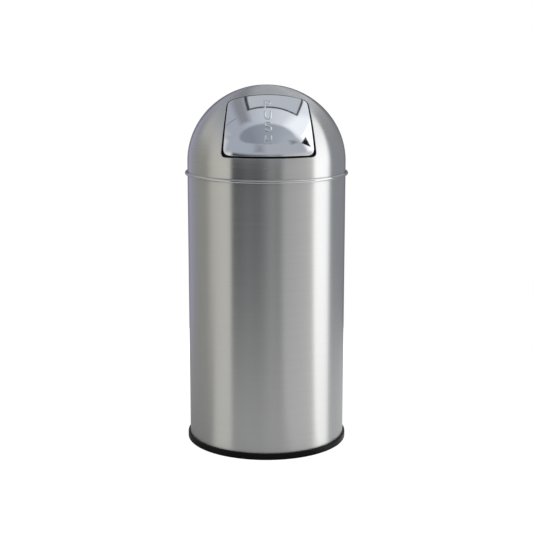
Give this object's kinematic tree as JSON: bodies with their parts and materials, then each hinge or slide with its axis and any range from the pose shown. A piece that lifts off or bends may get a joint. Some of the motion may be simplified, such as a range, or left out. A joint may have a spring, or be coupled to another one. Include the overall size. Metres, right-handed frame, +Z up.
{
  "type": "dome top waste bin",
  "caption": "Round steel waste bin with a lift-off dome lid, a sprung push flap in the dome, and an inner liner bucket with a bail handle.",
  "frame": {"origin": "on the floor at the bin's vertical axis, the centre of the base ring's underside", "axes": "+Z up along the bin's axis; the flap faces -Y; +X is the right-hand side seen from the front"},
  "size_m": [0.3458, 0.3458, 0.766],
  "materials": {
    "brushed_steel": "fine brushing round the bin, satin",
    "collar_steel": "plain rolled stainless, satin",
    "chrome": "bright chrome plating, mirror polish",
    "black_plastic": "moulded, fine satin grain",
    "galvanised": "hot-dip galvanised, matt with spangle",
    "plated_steel": "zinc plated wire and turned parts",
    "rubber": "matt"
  },
  "bodies": {
    "bin_body": {"body_shell": "brushed_steel", "base_pan": "galvanised", "base_ring": "black_plastic"},
    "liner": {"liner_wall": "galvanised", "liner_base": "galvanised", "left_bail_lug": "galvanised", "right_bail_lug": "galvanised", "left_lower_lug_rivet": "galvanised", "left_upper_lug_rivet": "galvanised", "right_lower_lug_rivet": "galvanised", "right_upper_lug_rivet": "galvanised"},
    "bail_handle": {"bail": "plated_steel"},
    "lid": {"dome_shell": "brushed_steel", "lid_collar": "collar_steel", "hinge_pin": "plated_steel", "left_hinge_bracket": "galvanised", "right_hinge_bracket": "galvanised", "left_pin_clip": "plated_steel", "right_pin_clip": "plated_steel", "left_hinge_spring": "plated_steel", "right_hinge_spring": "plated_steel"},
    "flap": {"flap_panel": "chrome", "flap_frame": "black_plastic", "left_lower_stud_nut": "plated_steel", "left_upper_stud_nut": "plated_steel", "right_lower_stud_nut": "plated_steel", "right_upper_stud_nut": "plated_steel", "left_stop_buffer": "rubber", "right_stop_buffer": "rubber"}
  },
  "joints": [
    {"name": "liner_lift", "type": "slide", "parent": "bin_body", "child": "liner", "axis": [0, 0, 1], "range_m": [0, 0.6]},
    {"name": "lid_lift", "type": "slide", "parent": "liner", "child": "lid", "axis": [0, 0, 1], "range_m": [0, 0.3]},
    {"name": "flap_swing", "type": "hinge", "parent": "lid", "child": "flap", "pos_m": [0, -0.0616, 0.72394], "axis": [1, 0, 0], "range_deg": [0, 60], "stiffness_Nm_per_rad": 0.2, "springref_deg": -76.2, "deforming": ["left_hinge_spring", "right_hinge_spring"]},
    {"name": "bail_swing", "type": "hinge", "parent": "liner", "child": "bail_handle", "pos_m": [0, 0, 0.5625], "axis": [1, 0, 0], "range_deg": [0, 180]}
  ]
}
